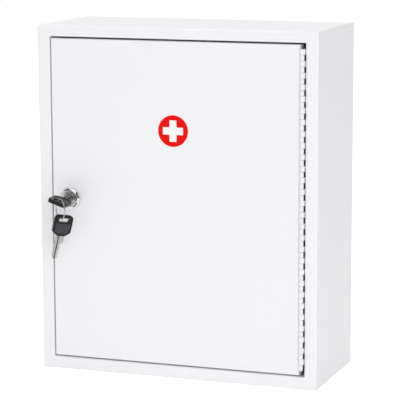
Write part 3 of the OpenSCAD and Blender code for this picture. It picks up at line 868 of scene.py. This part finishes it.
def add_keys():
    """The key in the lock and the one on the ring, alike but for their places."""
    first = moulded_bow("bow_in_lock")
    second = bpy.data.objects.new("bow_on_ring", first.data.copy())
    bpy.context.scene.collection.objects.link(second)
    finished(first, "key_plastic", "key", "key_bow", place=KEY_FRAME)
    finished(second, "key_plastic", "spare_key", "spare_key_bow", place=SPARE_FRAME)
    for bow, place in ((first, KEY_FRAME), (second, SPARE_FRAME)):
        repaint(bow, "grained_plastic", place, in_panel)
    edge = 0.14
    finished(eased_copy("key_blade", "blade_in_lock", edge), "key_nickel", "key",
             "key_blade")
    finished(eased_copy("spare_key_blade", "blade_on_ring", edge), "spare_nickel",
             "spare_key", "spare_key_blade", slot="key_nickel")


RING_ARC = 357  # degrees of the ring that are wire


def add_ring():
    """Ring of round wire, its rounded ends almost meeting."""
    bpy.ops.mesh.primitive_circle_add(vertices=20, radius=RING_WIRE_R * MM,
                                      location=(RING_R * MM, 0, 0),
                                      rotation=(math.pi / 2, 0, 0), fill_type="NGON")
    ring = bpy.context.object
    ring.name = "split_ring"
    settle(ring)
    with editing(ring):
        bpy.ops.mesh.spin(steps=120, angle=math.radians(RING_ARC), center=(0, 0, 0),
                          axis=(0, 0, 1))
        bpy.ops.mesh.select_all(action="SELECT")
        bpy.ops.mesh.normals_make_consistent(inside=False)
    ease_edges(ring, 0.2, 3, 60)
    finished(ring, "ring_wire", "ring", "key_ring", place=RING_FRAME)


# ---- Stage ----


FLOOR_SIZE = 8
FLOOR_DROP = 0.0005  # below the underside of the cabinet
FLOOR_GLOW = 0.20  # by which the floor's own white lights the object
FLOOR_SEEN = 0.55  # and with which the camera sees it, so that it meets the white backdrop


def add_floor():
    bpy.ops.mesh.primitive_plane_add(size=FLOOR_SIZE, location=(0, 0, -FLOOR_DROP))
    floor = bpy.context.object
    floor.name = "floor"
    material, tree, shader = new_material("pale_floor")
    shader.inputs["Base Color"].default_value = (0.90, 0.90, 0.90, 1)
    shader.inputs["Roughness"].default_value = 0.9
    shader.inputs["Specular IOR Level"].default_value = 0.0
    shader.inputs["Emission Color"].default_value = (1, 1, 1, 1)
    seen = tree.nodes.new("ShaderNodeLightPath").outputs["Is Camera Ray"]
    tree.links.new(mapped(tree, seen, 0, 1, FLOOR_GLOW, FLOOR_SEEN),
                   shader.inputs["Emission Strength"])
    floor.data.materials.append(material)


# What polished metal mirrors round the object: dark flags between white sheets. Each stop is a
# share of a turn, from the object's left round by way of below, right and above, and a grey.
STUDIO_RING = [(0.0, 0.90), (0.12, 0.65), (0.26, 0.60), (0.355, 0.62), (0.37, 0.02),
               (0.53, 0.02), (0.545, 0.30), (0.585, 0.30), (0.60, 0.02), (0.655, 0.02),
               (0.664, 1.50), (0.82, 1.50), (0.832, 0.02), (0.91, 0.02), (0.93, 0.90)]
STUDIO_FRONT = 0.55  # grey that is mirrored straight ahead
MIRROR_STRENGTH = 0.80
SKY_STRENGTH = 0.467


def add_world():
    """White all round, but mirrored as a studio with flags beside white sheets."""
    world = bpy.data.worlds.new("studio")
    world.use_nodes = True
    bpy.context.scene.world = world
    tree = world.node_tree
    white = tree.nodes["Background"]
    white.inputs["Color"].default_value = (1, 1, 1, 1)
    split = split_point(tree, tree.nodes.new("ShaderNodeTexCoord").outputs["Generated"])
    angle = tree.nodes.new("ShaderNodeMath")
    angle.operation = "ARCTAN2"
    tree.links.new(split["Z"], angle.inputs[0])
    tree.links.new(split["X"], angle.inputs[1])
    ramp = tree.nodes.new("ShaderNodeValToRGB")
    turn = mapped(tree, angle.outputs[0], -math.pi, math.pi, 0, 1)
    tree.links.new(turn, ramp.inputs["Fac"])
    stops = ramp.color_ramp.elements
    while len(stops) < len(STUDIO_RING):
        stops.new(0.5)
    for stop, (position, grey) in zip(stops, STUDIO_RING):
        stop.position = position
        stop.color = (grey, grey, grey, 1)
    front = mapped(tree, split["Y"], -1.0, -0.95, 0, 1)
    back = mapped(tree, split["Y"], 0.25, 0.6, 0, 1)
    rounds = mixed(tree, front, (STUDIO_FRONT,) * 3, ramp.outputs["Color"])
    rounds = mixed(tree, back, rounds, (1.0, 1.0, 1.0))
    soft = tree.nodes.new("ShaderNodeBackground")
    soft.inputs["Color"].default_value = (1, 1, 1, 1)
    soft.inputs["Strength"].default_value = SKY_STRENGTH
    mirrored = tree.nodes.new("ShaderNodeBackground")
    mirrored.inputs["Strength"].default_value = MIRROR_STRENGTH
    tree.links.new(rounds, mirrored.inputs["Color"])
    rays = tree.nodes.new("ShaderNodeLightPath")
    shown = soft.outputs[0]
    for ray, light in (("Is Glossy Ray", mirrored), ("Is Camera Ray", white)):
        mix = tree.nodes.new("ShaderNodeMixShader")
        tree.links.new(rays.outputs[ray], mix.inputs[0])
        tree.links.new(shown, mix.inputs[1])
        tree.links.new(light.outputs[0], mix.inputs[2])
        shown = mix.outputs[0]
    tree.links.new(shown, tree.nodes["World Output"].inputs["Surface"])


# Square lights: name, place, side in metres and power in watts
LIGHTS = [("key_light", Vector((1.85, -3.45, 1.25)), 2.4, 58),
          ("top_light", Vector((0.0, 0.1, 3.0)), 2.0, 40)]
LIT_POINT = Vector((0, 0, 0.2))


def add_lights():
    """A broad soft light beside the camera and one overhead, neither seen in mirrors."""
    for name, at, side, power in LIGHTS:
        data = bpy.data.lights.new(name, "AREA")
        data.shape = "SQUARE"
        data.size = side
        data.energy = power
        light = bpy.data.objects.new(name, data)
        light.rotation_euler = (LIT_POINT - at).to_track_quat("-Z", "Y").to_euler()
        light.location = at
        light.visible_glossy = False
        bpy.context.scene.collection.objects.link(light)


add_camera()
add_floor()
add_world()
add_lights()
bpy.context.scene.view_settings.view_transform = "Standard"
add_cabinet()
add_disc()
add_hinge()
add_lock_housing()
add_lock_fixings()
add_plug()
add_cam_screw()
add_wafer_springs()
add_keys()
add_ring()
